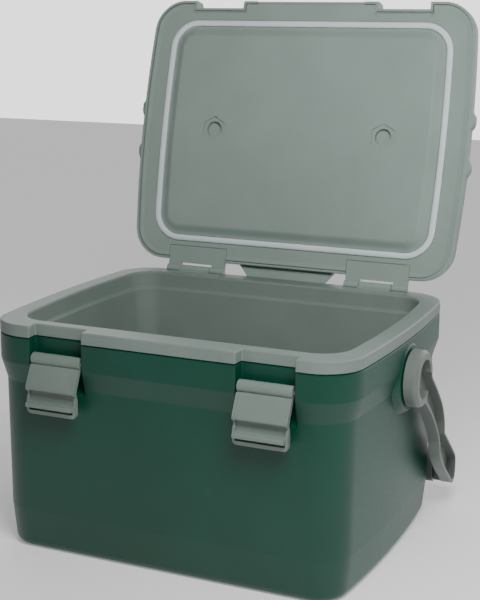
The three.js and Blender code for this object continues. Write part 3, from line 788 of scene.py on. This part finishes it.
def handle_arm():
    """Flanged arm with a deep channel that ends round inside its dished hub."""
    edge = spline(ARM_FRONT, 4) + spline(ARM_END, 4)[:-1] + spline(ARM_BACK, 3)[:-1] + spline(ARM_TOP, 4)
    arm = lean_in(soften(prism("arm", edge, ARM_INNER, ARM_OUTER), 0.8, 50, 2))
    stations = [(ARM_INNER, HUB_RADIUS - 0.8), (ARM_INNER + 0.6, HUB_RADIUS), (HUB_OUTER - 7, HUB_RADIUS)]
    for step in range(1, 9):
        angle = math.pi / 2 * step / 8
        stations.append((HUB_OUTER - 6 + 6 * math.sin(angle), HUB_RADIUS - 4.4 * (1 - math.cos(angle))))
    hub = lathe_x("hub", stations, *HUB, 72)
    foot_end = ARM_INNER - LEAN_SLOPE * (GRIP["front"] - LEAN_START) + 1.5
    foot = block("foot", (GRIP["end"], foot_end), (GRIP["front"], GRIP["back"]),
                 (GRIP["bottom"] + 3, GRIP["top"] - 8))
    whole = combine(arm, [hub, soften(foot, 3, 50)], "UNION")
    run = spline(CHANNEL_FRONT, 4) + spline(CHANNEL_END, 4)[:-1] + spline(CHANNEL_BACK, 3)[:-1]
    channel = lean_in(prism("channel", run + spline(CHANNEL_TOP, 4), ARM_INNER + WALL, HUB_OUTER + 5))
    pocket = lathe_x("pocket", [(ARM_INNER + 5.2, 19.2), (HUB_OUTER + 5, 20.2)], *HUB, 72)
    mark = prism("mark", [(-6.5, 173.5), (0.5, 169), (-1.5, 165.5)], ARM_INNER + 3.4, HUB_OUTER)
    whole = combine(whole, [channel, pocket, mark], "DIFFERENCE")
    return smooth(soften(whole, 0.5, 40, 2), 35)


arm_right = handle_arm()
arm_left = mirror_copy(arm_right, "arm_left_skin")
dress(arm_right, HANDLE, "handle", "handle_arm_right").name = "arm_right_skin"
dress(arm_left, HANDLE, "handle", "handle_arm_left")
arm_left.name = "arm_left_skin"


def grip():
    front, back, bottom, top = GRIP["front"], GRIP["back"], GRIP["bottom"], GRIP["top"]
    loop = [(back, 40), (back, top), (front, top), (front, bottom), (back, bottom), (back, 39.9)]
    section = arc_profile(loop, [6, 6, 6, 6], 6)
    end = GRIP["end"] - 0.3
    bar = prism("grip_bar", [tuple(p) for p in section[:-1]], -end, end)
    return smooth(soften(bar, 0.8, 60), 40)


dress(grip(), HANDLE, "handle", "handle_grip")

# ---------------------------------------------------------------- carried-over CAD pieces

for node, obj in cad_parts.items():
    if obj.hide_render:
        continue
    material = FOAM if "foam" in node else STEEL if "pin" in node else SAGE
    obj.data.materials.clear()
    obj.data.materials.append(material)
    obj.data.shade_smooth()
    obj.data.set_sharp_from_angle(angle=math.radians(35))

# ---------------------------------------------------------------- studio

ROOM_LIGHT = 0.1
BACKDROP_LIGHT = 2.0
# Strength of the floor's painted glow, a stand-in for light bounced off the floor.
FLOOR_GLOW = 0.22
FLOOR_REACH = 4000


def area_light(name, place, target, size, power, colour=(1, 1, 1)):
    light = bpy.data.lights.new(name, "AREA")
    light.shape = "RECTANGLE"
    light.size, light.size_y = size
    light.energy = power
    light.color = colour
    obj = bpy.data.objects.new(name, light)
    bpy.context.scene.collection.objects.link(obj)
    obj.location = place
    obj.visible_glossy = False
    obj.rotation_euler = (Vector(target) - Vector(place)).to_track_quat("-Z", "Y").to_euler()
    return obj


def studio():
    reach = FLOOR_REACH
    corners = [(-reach, -reach, 0), (reach, -reach, 0), (reach, reach, 0), (-reach, reach, 0)]
    floor = make_object("studio_floor", corners, [(0, 1, 2, 3)])
    floor.location.z = -0.0005
    # Floor material: plain paper tone, with painted shade towards the camera and a painted glow.
    paper = Nodes("floor_paper_painted_light")
    speck = paper.add("ShaderNodeTexNoise", Scale=3.0, Detail=2.0)
    paper.link(paper.place(), speck.inputs["Vector"])
    tone = paper.add("ShaderNodeMapRange")
    tone.inputs["To Min"].default_value = 0.86
    tone.inputs["To Max"].default_value = 0.9
    paper.link(speck.outputs["Fac"], tone.inputs["Value"])
    split = paper.add("ShaderNodeSeparateXYZ")
    paper.link(paper.place(), split.inputs["Vector"])
    # Painted shade: the floor's colour and glow fade to half towards the camera, so the floor is darker in
    # front than next to the chest.
    painted_floor_falloff = paper.add("ShaderNodeMapRange")
    painted_floor_falloff.interpolation_type = "SMOOTHSTEP"
    painted_floor_falloff.inputs["From Min"].default_value = -1.3
    painted_floor_falloff.inputs["From Max"].default_value = -0.3
    painted_floor_falloff.inputs["To Min"].default_value = 0.5
    paper.link(split.outputs["Y"], painted_floor_falloff.inputs["Value"])
    # Paper tone times the painted shade falloff.
    paper_tone_and_painted_shade = paper.add("ShaderNodeMath", operation="MULTIPLY")
    paper.link(tone.outputs["Result"], paper_tone_and_painted_shade.inputs[0])
    paper.link(painted_floor_falloff.outputs["Result"], paper_tone_and_painted_shade.inputs[1])
    paper.link(paper_tone_and_painted_shade.outputs["Value"], paper.shader.inputs["Base Color"])
    # Painted light: the floor glows, standing in for light bounced off it onto the chest, and fades towards
    # the camera with the painted shade.
    glow = paper.add("ShaderNodeMath", operation="MULTIPLY")
    glow.inputs[1].default_value = FLOOR_GLOW
    paper.link(painted_floor_falloff.outputs["Result"], glow.inputs[0])
    paper.link(glow.outputs["Value"], paper.shader.inputs["Emission Strength"])
    paper.shader.inputs["Emission Color"].default_value = (1, 1, 1, 1)
    paper.shader.inputs["Roughness"].default_value = 0.9
    floor.data.materials.append(paper.material)
    world_light()
    area_light("key_above", (0.38, -0.52, 0.78), (0, 0.16, 0.34), (0.4, 0.28), 8.5)
    area_light("side_right", (1.5, 0.9, 0.5), (0.15, 0, 0.15), (0.9, 0.9), 0.5)


def world_light():
    """Bright cyclorama behind the object, darker room in front of it."""
    world = bpy.data.worlds.new("studio_world")
    world.use_nodes = True
    tree = world.node_tree
    place = tree.nodes.new("ShaderNodeTexCoord")
    split = tree.nodes.new("ShaderNodeSeparateXYZ")
    tree.links.new(place.outputs["Generated"], split.inputs["Vector"])
    ramp = tree.nodes.new("ShaderNodeMapRange")
    ramp.interpolation_type = "SMOOTHSTEP"
    ramp.inputs["From Min"].default_value = 0.3
    ramp.inputs["From Max"].default_value = 0.8
    ramp.inputs["To Min"].default_value = ROOM_LIGHT
    ramp.inputs["To Max"].default_value = BACKDROP_LIGHT
    tree.links.new(split.outputs["Y"], ramp.inputs["Value"])
    tree.links.new(ramp.outputs["Result"], tree.nodes["Background"].inputs["Strength"])
    tree.nodes["Background"].inputs["Color"].default_value = (1, 1, 1, 1)
    bpy.context.scene.world = world


studio()

# ---------------------------------------------------------------- camera


def camera():
    scale = 0.9576
    data = bpy.data.cameras.new("camera")
    cam = bpy.data.objects.new("camera", data)
    bpy.context.scene.collection.objects.link(cam)
    data.sensor_width = 36
    data.lens = 81.3
    data.shift_x = 0.068
    data.shift_y = 0.0273
    data.clip_end = 20
    cam.location = (601.4 * scale * MM, (-1149.0 - 167.25) * scale * MM, (RIM_TOP + 336.3 * scale) * MM)
    heading = math.radians(25.72)
    pitch = math.radians(13.46)
    cam.rotation_euler = (math.pi / 2 - pitch, 0, heading)
    bpy.context.scene.camera = cam


camera()
